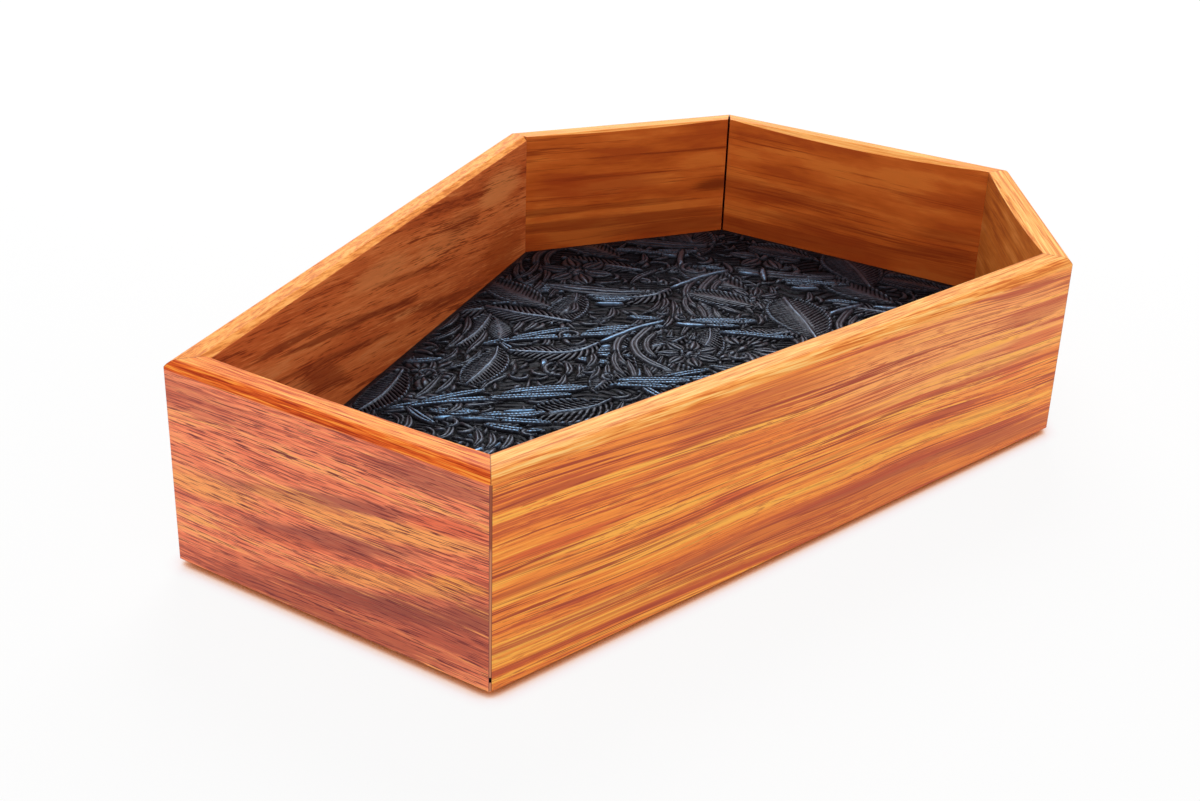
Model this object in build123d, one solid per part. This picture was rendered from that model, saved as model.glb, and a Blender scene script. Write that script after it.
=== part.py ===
from build123d import *
import math
import os

# Coffin-shaped dice tray: mitred hardwood walls around a base panel, with a leather
# floor on top of the panel and a thin pad below it. Millimetres, +Z up.
# The narrow foot end is at -Y and the head end at +Y. Left and right are as seen
# from the foot end. The origin is on the surface that the tray stands on, under
# the middle of its bounding box.

# Plan outline, measured on the outer faces
tray_length = 327.0
foot_width = 114.0
shoulder_width = 236.0
head_width = 126.0
shoulder_from_foot = 243.0

# Wall boards
wall_height = 63.5
wall_thickness = 9.5
outer_round_run = 3.6
outer_round_drop = 2.4
bottom_ease = 0.5
corner_flat_width = 0.9

# Easing of the top inner edge, as the leg of the bevel at the middle of each wall.
# A scooped bevel fades to nothing at both ends of its wall, a straight one does not.
foot_bevel = 0.8
right_side_bevel = 0.6
right_shoulder_bevel = 1.8
head_bevel = 2.2
left_shoulder_bevel = 1.0
left_side_bevel = 1.6

# The mitre between head wall and left shoulder wall is open on the inside
open_mitre_gap = 0.9

# Small hole in the glue line of the near right foot corner
glue_void_width = 0.6
glue_void_height = 1.6
glue_void_depth = 1.4
glue_void_above_wall_bottom = 3.2

# Base panel in a rabbet along the lower inner edge of the walls
panel_thickness = 12.0
rabbet_depth = 4.75
panel_side_clearance = 0.15

# Leather floor, glued on the panel
liner_thickness = 3.2
liner_side_clearance = 0.2

# Pad under the panel, which holds the walls off the table
pad_thickness = 2.0
pad_margin = 3.1
pad_corner_radius = 3.0

wall_bottom_z = pad_thickness
wall_top_z = wall_bottom_z + wall_height
panel_top_z = wall_bottom_z + panel_thickness
panel_inset = wall_thickness - rabbet_depth + panel_side_clearance
cutter_margin = 3.0


def outer_corners():
    """The outer corners, anticlockwise seen from above, with the outline centred on the origin."""
    foot_y = -tray_length / 2
    head_y = tray_length / 2
    shoulder_y = foot_y + shoulder_from_foot
    return [
        Vector(-foot_width / 2, foot_y),
        Vector(foot_width / 2, foot_y),
        Vector(shoulder_width / 2, shoulder_y),
        Vector(head_width / 2, head_y),
        Vector(-head_width / 2, head_y),
        Vector(-shoulder_width / 2, shoulder_y),
    ]


CORNERS = outer_corners()
SIDES = len(CORNERS)
UP = Vector(0, 0, 1)

# Each wall runs from the corner of its own number to the next one
FOOT, RIGHT_SIDE, RIGHT_SHOULDER, HEAD, LEFT_SHOULDER, LEFT_SIDE = range(SIDES)
NEAR_RIGHT_CORNER = RIGHT_SIDE
OPEN_MITRE_CORNER = LEFT_SHOULDER


def direction(side):
    """Unit vector along a wall, from its first corner to its second."""
    return (CORNERS[(side + 1) % SIDES] - CORNERS[side % SIDES]).normalized()


def inward(side):
    """Unit vector from a wall's outer face towards the inside of the tray."""
    return UP.cross(direction(side))


def half_corner_angle(corner):
    """Half of the angle that the outer faces make at a corner, in radians."""
    turn = math.acos(direction(corner - 1).dot(direction(corner)))
    return (math.pi - turn) / 2


def bisector(corner):
    """Unit vector along the mitre line, from the outer corner inwards."""
    return (direction(corner) - direction(corner - 1)).normalized()


def inset_corner(corner, inset):
    """The corner of the outline after every side has moved inwards by inset."""
    return CORNERS[corner % SIDES] + bisector(corner) * (inset / math.sin(half_corner_angle(corner)))


def inset_outline(inset):
    return [inset_corner(corner, inset) for corner in range(SIDES)]


def plate(inset, bottom_z, thickness):
    """A flat plate with the tray's outline, inset on every side."""
    outline = Polygon(*inset_outline(inset), align=None)
    return Pos(0, 0, bottom_z) * extrude(outline, thickness)


def wall_end(side, corner):
    """Plan points of one end of a wall: on its outer face, on the corner flat, on its inner face."""
    along = direction(side) if corner == side else -direction(side)
    half_angle = half_corner_angle(corner)
    flat_depth = corner_flat_width / 2 / math.tan(half_angle)
    tip = CORNERS[corner % SIDES]
    on_face = tip + along * (flat_depth / math.cos(half_angle))
    on_flat = tip + bisector(corner) * flat_depth
    inner = inset_corner(corner, wall_thickness)
    if corner % SIDES == OPEN_MITRE_CORNER:
        inner += along * (open_mitre_gap / 2 / math.sin(half_angle))
    return on_face, on_flat, inner


def wall_plan(side):
    """The wall seen from above: a board with a mitre at each end and the corner tips taken flat."""
    start_face, start_flat, start_inner = wall_end(side, side)
    end_face, end_flat, end_inner = wall_end(side, side + 1)
    outline = Polygon(start_face, end_face, end_flat, end_inner, start_inner, start_flat, align=None)
    return Pos(0, 0, wall_bottom_z) * extrude(outline, wall_height)


def wall_section(straight_bevel):
    """Section of a wall board: x runs inwards from the outer face, y upwards from its bottom edge."""
    round_start = (outer_round_run, wall_height)
    outer_arris = (0, wall_height - outer_round_drop)
    inner_top = [(wall_thickness, wall_height)]
    if straight_bevel:
        inner_top = [
            (wall_thickness - straight_bevel, wall_height),
            (wall_thickness, wall_height - straight_bevel),
        ]
    edges = Polyline((bottom_ease, 0), (0, bottom_ease), outer_arris)
    edges += TangentArc(round_start, outer_arris, tangent=(-1, 0))
    edges += Polyline(
        round_start,
        *inner_top,
        (wall_thickness, panel_thickness),
        (wall_thickness - rabbet_depth, panel_thickness),
        (wall_thickness - rabbet_depth, 0),
        (bottom_ease, 0),
    )
    return make_face(edges)


def scoop_cutter(side, bevel):
    """Cuts a bevel into the top inner edge that is deepest at mid-wall and fades at both ends."""
    start = inset_corner(side, wall_thickness) + UP * wall_top_z
    end = inset_corner(side + 1, wall_thickness) + UP * wall_top_z
    span = (end - start).length
    depth = bevel / math.sqrt(2)
    out_of_bevel = (inward(side) + UP).normalized()
    plane = Plane(start, x_dir=direction(side), z_dir=direction(side).cross(out_of_bevel))
    edges = ThreePointArc((0, 0), (span / 2, -depth), (span, 0))
    edges += Polyline((span, 0), (span, cutter_margin), (0, cutter_margin), (0, 0))
    return plane * extrude(make_face(edges), wall_thickness / 2, both=True)


def wall(side, scooped_bevel=0.0, straight_bevel=0.0):
    """One wall board: its section run along the side, cut to its mitred plan."""
    margin = wall_thickness + cutter_margin
    start = CORNERS[side] - direction(side) * margin + UP * wall_bottom_z
    length = (CORNERS[(side + 1) % SIDES] - CORNERS[side]).length + 2 * margin
    plane = Plane(start, x_dir=inward(side), z_dir=direction(side))
    board = plane * extrude(wall_section(straight_bevel), length)
    board = board & wall_plan(side)
    if scooped_bevel:
        board = board - scoop_cutter(side, scooped_bevel)
    return board


def glue_void():
    """The hole in the corner flat, a small block that reaches in along the mitre."""
    inwards = bisector(NEAR_RIGHT_CORNER)
    centre_z = wall_bottom_z + glue_void_above_wall_bottom + glue_void_height / 2
    plane = Plane(CORNERS[NEAR_RIGHT_CORNER] + UP * centre_z, x_dir=inwards, z_dir=UP)
    return plane * Box(2 * glue_void_depth, glue_void_width, glue_void_height)


def base_panel():
    """Plywood panel that fills the rabbet, flush with the bottom edges of the walls."""
    return plate(panel_inset, wall_bottom_z, panel_thickness)


def leather_liner():
    """Leather floor of the tray, cut to fit between the walls."""
    return plate(wall_thickness + liner_side_clearance, panel_top_z, liner_thickness)


def underside_pad():
    """Thin pad that everything rests on, set back from the panel's edge by the margin."""
    pad = plate(panel_inset + pad_margin, 0, pad_thickness)
    return fillet(pad.edges().filter_by(Axis.Z), pad_corner_radius)


PIECES = {
    "foot_wall": wall(FOOT, scooped_bevel=foot_bevel) - glue_void(),
    "right_side_wall": wall(RIGHT_SIDE, scooped_bevel=right_side_bevel) - glue_void(),
    "right_shoulder_wall": wall(RIGHT_SHOULDER, scooped_bevel=right_shoulder_bevel),
    "head_wall": wall(HEAD, scooped_bevel=head_bevel),
    "left_shoulder_wall": wall(LEFT_SHOULDER, scooped_bevel=left_shoulder_bevel),
    "left_side_wall": wall(LEFT_SIDE, straight_bevel=left_side_bevel),
    "base_panel": base_panel(),
    "leather_liner": leather_liner(),
    "underside_pad": underside_pad(),
}

os.makedirs("parts", exist_ok=True)
for name, piece in PIECES.items():
    export_step(piece, f"parts/{name}.step")
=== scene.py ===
import math

import bmesh
import bpy
import numpy as np
from mathutils import Matrix, Quaternion, Vector


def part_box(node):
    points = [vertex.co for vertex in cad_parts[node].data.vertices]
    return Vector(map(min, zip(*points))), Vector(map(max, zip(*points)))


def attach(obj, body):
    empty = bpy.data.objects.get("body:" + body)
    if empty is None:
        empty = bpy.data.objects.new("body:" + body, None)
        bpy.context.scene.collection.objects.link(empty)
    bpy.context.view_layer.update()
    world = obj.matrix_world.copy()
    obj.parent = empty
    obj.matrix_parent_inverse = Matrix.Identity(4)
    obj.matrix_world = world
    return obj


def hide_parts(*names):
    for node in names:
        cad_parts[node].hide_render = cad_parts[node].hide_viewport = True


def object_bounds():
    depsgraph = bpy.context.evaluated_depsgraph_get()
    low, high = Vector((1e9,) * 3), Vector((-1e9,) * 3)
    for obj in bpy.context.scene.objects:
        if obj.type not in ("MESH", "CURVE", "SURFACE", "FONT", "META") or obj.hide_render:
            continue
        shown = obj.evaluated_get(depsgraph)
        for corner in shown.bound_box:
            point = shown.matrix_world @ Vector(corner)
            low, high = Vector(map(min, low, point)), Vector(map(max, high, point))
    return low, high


# Looks of the coffin-shaped dice tray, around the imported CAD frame. Blender works in metres, the materials
# and the leather's relief in millimetres. Left and right are as seen from the foot end, at -Y.

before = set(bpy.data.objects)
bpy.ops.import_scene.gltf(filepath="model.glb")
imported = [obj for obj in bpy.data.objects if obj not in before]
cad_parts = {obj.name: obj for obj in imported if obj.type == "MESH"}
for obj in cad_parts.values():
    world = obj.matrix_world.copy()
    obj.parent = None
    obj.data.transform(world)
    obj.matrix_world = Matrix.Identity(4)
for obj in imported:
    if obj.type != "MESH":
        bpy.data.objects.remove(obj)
cad_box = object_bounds()

MM = 0.001
BODY = "root"
WALLS = (
    "foot_wall",
    "right_side_wall",
    "right_shoulder_wall",
    "head_wall",
    "left_shoulder_wall",
    "left_side_wall",
)


def srgb(red, green, blue):
    """A colour as it shows on a screen, 0 to 255, as Blender's linear RGBA."""
    def linear(v):
        v /= 255
        return v / 12.92 if v <= 0.04045 else ((v + 0.055) / 1.055) ** 2.4
    return (linear(red), linear(green), linear(blue), 1.0)


class Shader:
    """A material's nodes, with short ways to add and link them."""

    def __init__(self, name):
        self.material = bpy.data.materials.new(name)
        self.material.use_nodes = True
        self.tree = self.material.node_tree
        self.surface = self.tree.nodes["Principled BSDF"]

    def put(self, socket, value):
        if isinstance(value, bpy.types.NodeSocket):
            self.tree.links.new(value, socket)
        else:
            socket.default_value = value

    def add(self, kind, inputs, out=0, **settings):
        node = self.tree.nodes.new("ShaderNode" + kind)
        for name, value in settings.items():
            setattr(node, name, value)
        for key, value in inputs.items():
            self.put(node.inputs[key], value)
        return node.outputs[out]

    def math(self, operation, *values):
        return self.add("Math", dict(enumerate(values)), operation=operation)

    def times_plus(self, a, b, c):
        """a times b, plus c."""
        return self.math("MULTIPLY_ADD", a, b, c)

    def span(self, value, low, high, to_low=0.0, to_high=1.0):
        """to_low where value is low or under, to_high where it is high or over, and in between linear."""
        return self.add("MapRange", {0: value, 1: low, 2: high, 3: to_low, 4: to_high})

    def object_mm(self):
        """Places on the piece, in mm from the frame's origin."""
        return self.mapping(self.add("TexCoord", {}, out=3), (1 / MM,) * 3)

    def vector(self, operation, a, b):
        return self.add("VectorMath", {0: a, 1: b}, operation=operation)

    def mapping(self, vector, scale=(1, 1, 1), rotation=(0, 0, 0), location=(0, 0, 0)):
        inputs = {"Vector": vector, "Scale": scale, "Rotation": rotation, "Location": location}
        return self.add("Mapping", inputs)

    def noise(self, vector, size, detail=2.0, roughness=0.5, offset=0.0):
        """Noise whose features are about size = (x, y, z) long, in the units of vector."""
        spread = self.mapping(vector, [1 / s for s in size], location=(offset, offset * 0.7, 0))
        inputs = {"Vector": spread, "Scale": 1.0, "Detail": detail, "Roughness": roughness}
        return self.add("TexNoise", inputs)

    def ramp(self, factor, stops):
        """Colours or greys by factor, from stops of (factor, colour or grey)."""
        node = self.tree.nodes.new("ShaderNodeValToRGB")
        elements = node.color_ramp.elements
        while len(elements) < len(stops):
            elements.new(0.5)
        for element, (place, colour) in zip(elements, stops):
            element.position = place
            element.color = colour if hasattr(colour, "__len__") else (colour,) * 3 + (1.0,)
        self.put(node.inputs[0], factor)
        return node.outputs[0]

    def mix(self, factor, a, b):
        return self.add("Mix", {0: factor, 6: a, 7: b}, out=2, data_type="RGBA")

    def bump(self, height, distance, strength):
        inputs = {"Height": height, "Distance": distance, "Strength": strength}
        self.put(self.surface.inputs["Normal"], self.add("Bump", inputs))

    def finish(self, **values):
        """Sets sockets of the surface by name, with _ for each space."""
        for name, value in values.items():
            self.put(self.surface.inputs[name.replace("_", " ")], value)
        return self.material


def wear(piece, material):
    """Gives a piece its material, in its one material slot."""
    piece.data.materials.clear()
    piece.data.materials.append(material)


def new_piece(name, vertices, faces):
    """A mesh object in the scene."""
    mesh = bpy.data.meshes.new(name)
    mesh.from_pydata([tuple(v) for v in vertices], [], [tuple(f) for f in faces])
    mesh.validate()
    piece = bpy.data.objects.new(name, mesh)
    bpy.context.scene.collection.objects.link(piece)
    return piece


def outer_face(node):
    """Of a wall: the middle of its outer face's lower edge, and the unit vector out of that face."""
    groups = {}
    for face in node.data.polygons:
        if abs(face.normal.z) < 0.01 and face.normal.dot(face.center) > 0:
            groups.setdefault(tuple(round(c, 2) for c in face.normal), []).append(face)
    faces = max(groups.values(), key=lambda group: sum(f.area for f in group))
    normal = faces[0].normal.copy()
    along = Vector((-normal.y, normal.x, 0))
    points = [node.data.vertices[i].co for f in faces for i in f.vertices]
    reach = [p.dot(along) for p in points]
    middle = normal * points[0].dot(normal) + along * (min(reach) + max(reach)) / 2
    middle.z = min(p.z for p in points)
    return middle, normal


# Wood

# Of the walls' outer top edge: where its rounding starts above the face's lower edge, and how far in it ends
ARRIS_MM, ROUND_MM = 60.6, 3.6
# Depths from the outer face: of the inner face, and at a corner of half the glue line and of the whole flat
INNER_FROM_MM, GLUE_LINE_MM, FACET_DEPTH_MM = 9.4, 0.11, 0.32
# The flat up the corner: the depths that count as its own, and where its tone changes on the way up
FACET_DEPTHS_MM, FACET_CHANGE_MM = (0.03, 3), (41.5, 43.0)
# How near to a mitre its line starts and stops to fade, and the line's share in the colour
MITRE_LINE_MM, MITRE_LINE_SHARE = (0.1, 0.28), 0.6
# The hole in the glue is painted near black, as shade.
FACET_TOP, MITRE_LINE, GLUE_HOLE_PAINTED_SHADE = (150, 76, 48), (120, 52, 44), (30, 12, 8)
# The grain's slow rise and fall: the size of its waves, and its height on the face and on the top edge
SWAY_SIZE, SWAY_MM = (130, 40, 30), (7.0, 1.0)
PATCH_SIZE = (50, 9, 9)
EDGE_CONTRAST = (0.42, 0.58)
# Marks whose red, green and blue add up to more are lighter than the wood around them
LIGHT_MARK = 420
# How much the grain frays a mark's outline, and a mark's size through the board, in mm
RAGGED, THROUGH_BOARD = 2.2, 1000


def board_space(shader, node):
    """Coordinates in a wall board: mm along it to the right as seen from outside, inwards, and up."""
    middle, normal = outer_face(node)
    angle = math.atan2(normal.y, normal.x) + math.pi / 2
    turn = Matrix.Rotation(-angle, 3, "Z")
    place = -(turn @ middle) / MM
    coordinates = shader.add("TexCoord", {}, out=3)
    return shader.mapping(coordinates, (1 / MM,) * 3, (0, 0, -angle), place)


def mitre_line(shader, node, board, depth):
    """Over 0 close to the mitres at a wall's ends, and 0 elsewhere and on its inner face."""
    middle, normal = outer_face(node)
    along = Vector((-normal.y, normal.x, 0))
    points = [
        ((v.co - middle).dot(along) / MM, (middle - v.co).dot(normal) / MM) for v in node.data.vertices
    ]
    x = shader.add("SeparateXYZ", {0: board}, out=0)
    gaps = []
    for side in (1, -1):
        tip, tip_depth = max((side * px, d) for px, d in points)
        inner, inner_depth = max((side * px, d) for px, d in points if d > INNER_FROM_MM)
        slope = (tip - inner) / (inner_depth - tip_depth)
        edge = shader.times_plus(depth, -slope, tip + slope * tip_depth)
        gaps.append(shader.times_plus(x, -side, edge))
    near = shader.span(shader.math("MINIMUM", *gaps), *MITRE_LINE_MM, MITRE_LINE_SHARE, 0.0)
    return shader.math("MULTIPLY", near, shader.math("LESS_THAN", depth, INNER_FROM_MM))


def streak(shader, board, tone, x, z, rise, length, width):
    """A long soft spot on a board, 1 in it and 0 outside, that reaches furthest where tone is high."""
    inputs = {
        "Vector": board, "Location": (x, 0, z), "Rotation": (0, -math.radians(rise), 0),
        "Scale": (length, THROUGH_BOARD, width),
    }
    place = shader.add("Mapping", inputs, vector_type="TEXTURE")
    spot = shader.add("TexGradient", {0: place}, out=1, gradient_type="SPHERICAL")
    ragged = shader.times_plus(tone, RAGGED, shader.math("SUBTRACT", spot, RAGGED / 2))
    return shader.span(ragged, 0.1, 0.5)


def wood(node, look):
    """Oiled hardwood with streaks along the board and fine pores. Its edges have tones of their own."""
    shader = Shader(node.name + "_wood")
    seed = look["seed"]
    flat_board = board_space(shader, node)
    board = shader.mapping(flat_board, rotation=(0, math.radians(look.get("tilt", 0.0)), 0))
    places = shader.tree.nodes.new("ShaderNodeSeparateXYZ")
    shader.put(places.inputs[0], flat_board)
    up, depth = places.outputs[2], places.outputs[1]
    on_top = shader.span(up, ARRIS_MM - 0.3, ARRIS_MM + 0.2)
    sway = shader.math("SUBTRACT", shader.noise(board, SWAY_SIZE, 1, offset=seed), 0.5)
    sway = shader.math("MULTIPLY", sway, shader.span(on_top, 0.0, 1.0, *SWAY_MM))
    grain = shader.vector("ADD", board, shader.add("CombineXYZ", {"Z": sway}))
    bands = shader.noise(grain, look.get("bands", (130, 3.2, 3.2)), 5, 0.6, seed + 3)
    streaks = shader.noise(grain, look.get("streaks", (60, 1.2, 1.1)), 4, 0.6, seed + 7)
    fine = shader.noise(grain, look.get("fine", (18, 0.32, 0.32)), 2, 0.6, seed + 11)
    shares = look.get("shares", (0.45, 0.3, 0.25))
    tone = shader.math("MULTIPLY", bands, shares[0])
    for part, share in ((streaks, shares[1]), (fine, shares[2])):
        tone = shader.times_plus(part, share, tone)
    contrast = look.get("contrast", (0.41, 0.59))

    def tinted(colours, by, low, high):
        step = (high - low) / (len(colours) - 1)
        return shader.ramp(by, [(low + step * i, srgb(*c)) for i, c in enumerate(colours)])

    dark_tone = shader.math("SUBTRACT", 1.0, tone)

    def marked(colour, marks):
        for tint, strength, *place in marks:
            reach = tone if sum(tint) > LIGHT_MARK else dark_tone
            share = shader.math("MULTIPLY", streak(shader, flat_board, reach, *place), strength)
            colour = shader.mix(share, colour, srgb(*tint))
        return colour

    def dashes(size, start, low, high, offset, patch_size):
        """Fine dark lines of about size = (long, deep, high), denser in some patches than in others."""
        spots = shader.noise(grain, size, 2, 0.5, seed + offset)
        lines = shader.ramp(spots, [(start, 0.0), (start + 0.06, 1.0)])
        patches = shader.noise(grain, patch_size, 2, offset=seed + offset + 6)
        return shader.math("MULTIPLY", lines, shader.ramp(patches, [(0.38, low), (0.6, high)]))

    colour = marked(tinted(look["colours"], tone, *contrast), look.get("marks", ()))
    line_size, line_share = look.get("line_size", (40, 0.5, 0.5)), look.get("line_share", (0.1, 0.6))
    lines = dashes(line_size, 0.54, *line_share, 41, look.get("line_patches", PATCH_SIZE))
    colour = shader.mix(lines, colour, srgb(*look["line"]))
    pore_size, pore_share = look.get("pore_size", (8, 0.25, 0.25)), look.get("pore_share", (0.1, 0.7))
    pores = dashes(pore_size, 0.56, *pore_share, 23, PATCH_SIZE)
    colour = shader.mix(pores, colour, srgb(*look["pore"]))

    # Top edge, from its rounding to the flat rim
    rim = shader.span(depth, ROUND_MM - 1.4, ROUND_MM - 0.2)
    narrow = shader.times_plus(streaks, 0.6, shader.math("MULTIPLY", fine, 0.4))
    rounding = tinted(look["round"], narrow, *EDGE_CONTRAST)
    edge = shader.mix(rim, rounding, tinted(look["rim"], narrow, *EDGE_CONTRAST))
    edge = shader.mix(shader.math("MULTIPLY", lines, 0.6), edge, srgb(*look["edge_line"]))
    colour = shader.mix(on_top, colour, edge)

    # Inner face, cloudier than the outer one
    on_inner = shader.math("GREATER_THAN", depth, INNER_FROM_MM)
    clouds = shader.noise(grain, look.get("clouds", (45, 12, 9)), 4, 0.55, seed + 37)
    cloudy = look.get("cloudy", 0.5)
    clouds = shader.times_plus(clouds, cloudy, shader.math("MULTIPLY", tone, 1 - cloudy))
    inner = marked(tinted(look["inner"], clouds, *contrast), look.get("inner_marks", ()))
    inner_pores = shader.math("MULTIPLY", pores, look.get("inner_pores", 0.15))
    inner = shader.mix(inner_pores, inner, srgb(*look["pore"]))
    colour = shader.mix(on_inner, colour, inner)

    # Narrow flat along the corner, with the glue line in its middle and the hole in the glue, whose inside is
    # painted near black as shade
    in_facet = 1.0
    for operation, value, bound in (
        ("GREATER_THAN", depth, FACET_DEPTHS_MM[0]), ("LESS_THAN", depth, FACET_DEPTHS_MM[1]),
        ("LESS_THAN", up, ARRIS_MM - 0.1), ("GREATER_THAN", up, 0.0),
    ):
        in_facet = shader.math("MULTIPLY", in_facet, shader.math(operation, value, bound))
    facet = shader.mix(shader.span(up, *FACET_CHANGE_MM), srgb(*look["facet"]), srgb(*FACET_TOP))
    facet = shader.mix(shader.math("LESS_THAN", depth, GLUE_LINE_MM), facet, srgb(*look["facet_line"]))
    # Painted shade: the inside of the hole in the glue is near black.
    facet = shader.mix(shader.math("GREATER_THAN", depth, FACET_DEPTH_MM), facet, srgb(*GLUE_HOLE_PAINTED_SHADE))
    colour = shader.mix(in_facet, colour, facet)
    glue = shader.math("MULTIPLY", mitre_line(shader, node, flat_board, depth), on_top)
    colour = shader.mix(glue, colour, srgb(*MITRE_LINE))

    shader.bump(shader.math("SUBTRACT", shader.math("MULTIPLY", fine, 0.4), pores), 0.05 * MM, 0.6)
    shine = shader.span(streaks, 0.3, 0.7, 0.44, 0.54)
    gloss = shader.span(shader.math("MAXIMUM", on_top, on_inner), 0.0, 1.0, 0.3, 0.07)
    return shader.finish(Base_Color=colour, Roughness=shine, Specular_IOR_Level=gloss)


# A look holds tones from dark to light of the face, the rounded edge, the rim and the inner face, and sizes
# in mm as along, through and up the board. Marks are streaks, most of the wood's own tones and a few of
# painted
# highlight or shade: tone, strength, middle along and up the board, rise in degrees, half length and half
# width.
SIDE_WOOD = {
    "colours": [(200, 84, 34), (232, 122, 46), (250, 150, 56), (255, 188, 76)], "contrast": (0.425, 0.575),
    "round": [(214, 116, 52), (242, 152, 72), (252, 172, 88), (255, 204, 124)],
    "rim": [(216, 126, 56), (242, 162, 80), (250, 178, 94), (255, 204, 122)],
    "inner": [(172, 85, 33), (199, 108, 42), (212, 122, 50), (228, 141, 68)],
    "pore": (184, 70, 32), "line": (162, 58, 30), "edge_line": (206, 96, 44),
    "facet": (196, 124, 88), "facet_line": (86, 44, 24),
}
HEAD_WOOD = {
    "colours": [(180, 88, 40), (210, 112, 54), (228, 132, 66), (246, 160, 88)],
    "round": [(196, 102, 48), (228, 132, 62), (240, 150, 76), (255, 180, 104)],
    "rim": [(218, 126, 54), (240, 154, 76), (248, 166, 86), (255, 188, 108)],
    "inner": [(183, 81, 29), (199, 95, 33), (210, 104, 39), (222, 120, 48)],
    "pore": (116, 46, 18), "line": (140, 56, 22), "edge_line": (204, 100, 44),
    "inner_pores": 0.08, "cloudy": 0.75,
    "facet": (190, 118, 80), "facet_line": (86, 44, 24),
}
FOOT_WOOD = {
    "colours": [(196, 78, 52), (240, 121, 82), (255, 150, 100), (255, 186, 128)], "contrast": (0.36, 0.64),
    "round": [(168, 52, 18), (216, 86, 30), (238, 112, 38), (252, 156, 62)],
    "rim": [(204, 84, 40), (240, 132, 62), (252, 152, 72), (255, 184, 96)],
    "inner": [(154, 69, 33), (189, 93, 44), (207, 108, 54), (222, 135, 71)],
    "pore": (118, 36, 36), "line": (168, 58, 44), "edge_line": (170, 50, 24),
    "facet": (196, 124, 88), "facet_line": (110, 58, 58),
}
LEFT_WOOD = {
    "colours": [(160, 76, 36), (206, 106, 54), (222, 122, 62), (240, 150, 82)],
    "round": [(212, 112, 48), (236, 140, 60), (244, 156, 72), (255, 180, 96)],
    "rim": [(216, 124, 54), (238, 148, 70), (246, 162, 80), (255, 180, 98)],
    "inner": [(180, 80, 38), (210, 104, 51), (230, 126, 66), (244, 152, 88)],
    "pore": (126, 54, 28), "line": (140, 60, 32), "edge_line": (206, 104, 48),
    "contrast": (0.385, 0.615), "inner_pores": 0.3, "clouds": (110, 14, 9),
    "facet": (190, 118, 80), "facet_line": (86, 44, 24),
}
GREY, MAUVE, AMBER, YELLOW = (168, 88, 68), (136, 62, 50), (255, 172, 88), (255, 182, 72)
FOOT_MARKS = (
    # The first mark is painted shade, darkening the face towards its bottom.
    ((184, 84, 60), 0.5, 10, 6, 3, 80, 11), ((174, 80, 62), 0.5, 44, 18, 10, 36, 12),
    (AMBER, 0.65, 26, 36.8, 8.7, 45, 4.5), (AMBER, 0.6, -44, 27.3, 2, 30, 5),
    (GREY, 0.8, 1.3, 26, 11, 45, 4.2), (AMBER, 0.65, 22, 21, 11.7, 38, 4),
    (MAUVE, 0.75, 18, 12.7, 8, 48, 4.5), (GREY, 0.8, 1.3, 38, 9.4, 38, 3.6),
    (GREY, 0.7, 39, 56, 3, 30, 5), (MAUVE, 0.3, -46, 53.5, -2, 30, 8),
    ((255, 170, 78), 0.8, 47, 28.5, 8, 16, 3), ((226, 98, 60), 0.6, 46, 45, 14, 20, 4),
    # The second mark on the next line is painted shade along the face's bottom edge.
    (MAUVE, 0.6, 52, 21, 12, 14, 5), ((166, 80, 56), 0.5, 0, 2, 0, 60, 5),
    ((232, 108, 66), 0.5, -20, 20, 8, 30, 3), (GREY, 0.5, -28, 33, 6, 22, 2.6),
    (AMBER, 0.5, -10, 34, 3, 26, 3),
)
DARK, RUST, PLUM = (186, 78, 38), (216, 92, 42), (162, 70, 48)
SIDE_MARKS = (
    # The first mark is a painted highlight over the face's upper part, the second painted shade along its
    # bottom.
    ((255, 184, 112), 0.5, 70, 46, -1, 100, 22), ((182, 82, 40), 0.4, -10, 7, -1, 130, 9),
    ((192, 96, 48), 0.5, -31.5, 54.3, -1.5, 44, 8), (DARK, 0.8, -105, 52.7, -1, 28, 1.9),
    (DARK, 0.8, -58, 48.5, -4, 26, 1.8), (YELLOW, 0.85, -78, 32.4, -2.5, 54, 1.9),
    (YELLOW, 0.85, -47, 20.7, -2.5, 74, 1.7), (YELLOW, 0.75, 54, 19, -1.5, 64, 1.8),
    (YELLOW, 0.75, -28, 47, -3, 44, 1.5), (YELLOW, 0.7, 78, 42.3, 0, 46, 1.6),
    (DARK, 0.8, 54, 24.6, -2, 40, 1.6), (PLUM, 0.6, 47, 10, -2, 84, 1.8), (PLUM, 0.5, 101, 5, -2, 40, 4),
    (PLUM, 0.5, -106, 11.3, -1, 50, 2.4), (PLUM, 0.6, -55, 11.3, 0, 38, 1.5), (DARK, 0.8, 101, 58, -1, 32, 2),
    (DARK, 0.5, 106, 48, -1, 28, 4), (RUST, 0.8, -103, 36.3, -2, 32, 2.2),
    (RUST, 0.8, -37.7, 28.5, -2, 16, 2.2), (RUST, 0.7, 97, 28.5, 0, 12, 2.2),
    (RUST, 0.6, 109, 38, -1, 24, 3.4), (YELLOW, 0.6, 60, 31, -1, 50, 1.4),
    (YELLOW, 0.6, -90, 26, -2.5, 34, 1.3), (DARK, 0.6, -10, 38, -2, 60, 1.3),
    (DARK, 0.6, -70, 26, -2, 40, 1.2), (YELLOW, 0.5, 10, 26, -2, 44, 1.4),
    (YELLOW, 0.7, 20, 33, -1.5, 70, 1.5), (YELLOW, 0.6, -60, 43, -2, 34, 1.0),
    (DARK, 0.5, 90, 33, -1, 40, 1.2),
)
BROWN, PALE = (133, 54, 25), (239, 149, 85)
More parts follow.
